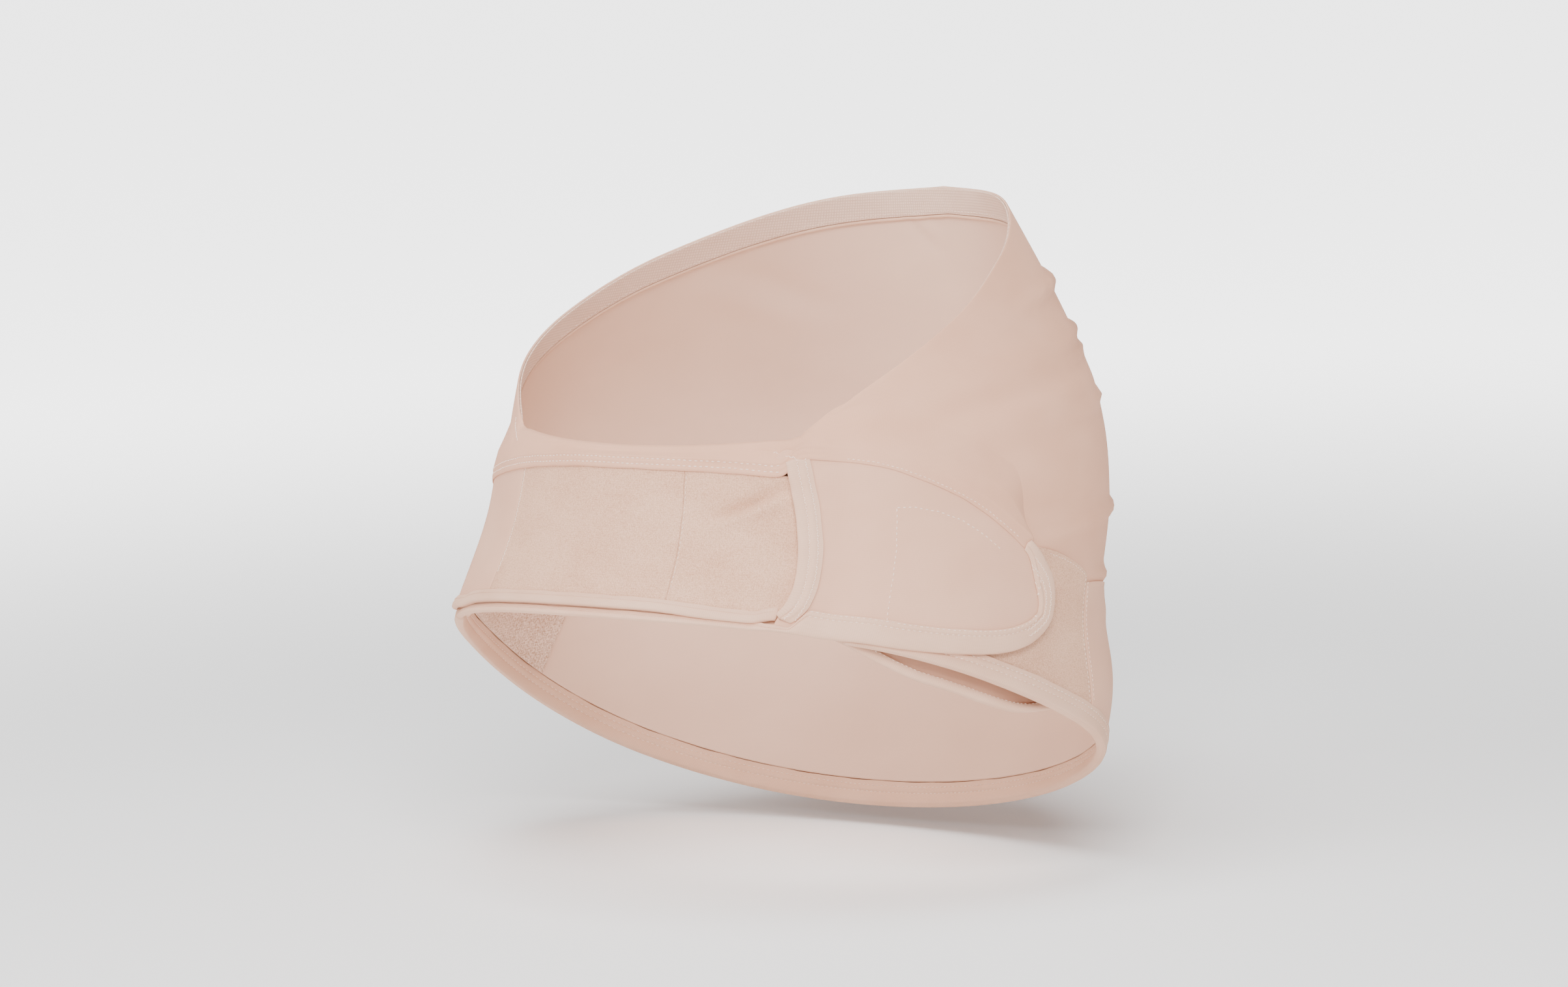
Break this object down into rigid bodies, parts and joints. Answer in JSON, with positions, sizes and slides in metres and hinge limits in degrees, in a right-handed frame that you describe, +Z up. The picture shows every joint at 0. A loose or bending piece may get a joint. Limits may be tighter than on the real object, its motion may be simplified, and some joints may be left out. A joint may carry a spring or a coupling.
{
  "type": "maternity support belt",
  "caption": "Stretch maternity support belt with a tall belly panel and a low back, held open as worn, with crossing back belts through a slot and rounded hook tabs at the hips.",
  "frame": {"origin": "on the wearer's body axis at the level of the hip belt's middle, where the belt is held up", "axes": "+Y towards the wearer's front, +X towards the wearer's right, +Z up"},
  "size_m": [0.3604, 0.3039, 0.3104],
  "materials": {
    "jersey": "smooth matt stretch jersey, nude beige",
    "firm_knit": "smooth firm power-stretch knit, nude beige",
    "loop_fabric": "brushed loop pile, matt, nude beige",
    "binding": "folded stretch binding with two needle rows, nude beige",
    "hook_fabric": "moulded hook fabric, nude beige",
    "elastic": "ribbed knitted elastic, nude beige"
  },
  "bodies": {
    "root": {"belly_panel": "jersey", "waist_elastic": "elastic", "back_top_hem": "jersey", "right_seam_hem": "jersey", "right_belt": "firm_knit", "left_belt": "firm_knit", "back_loop_panel": "loop_fabric", "slot_end_panel": "loop_fabric", "slot_binding": "binding", "right_belt_binding": "binding", "left_belt_binding": "binding", "lower_rim_binding": "binding", "inner_rim_binding": "binding", "right_hook_patch": "hook_fabric", "left_hook_patch": "hook_fabric", "right_hip_loop_patch": "loop_fabric", "left_hip_loop_patch": "loop_fabric", "front_band": "firm_knit", "left_inner_patch": "loop_fabric"}
  },
  "joints": []
}
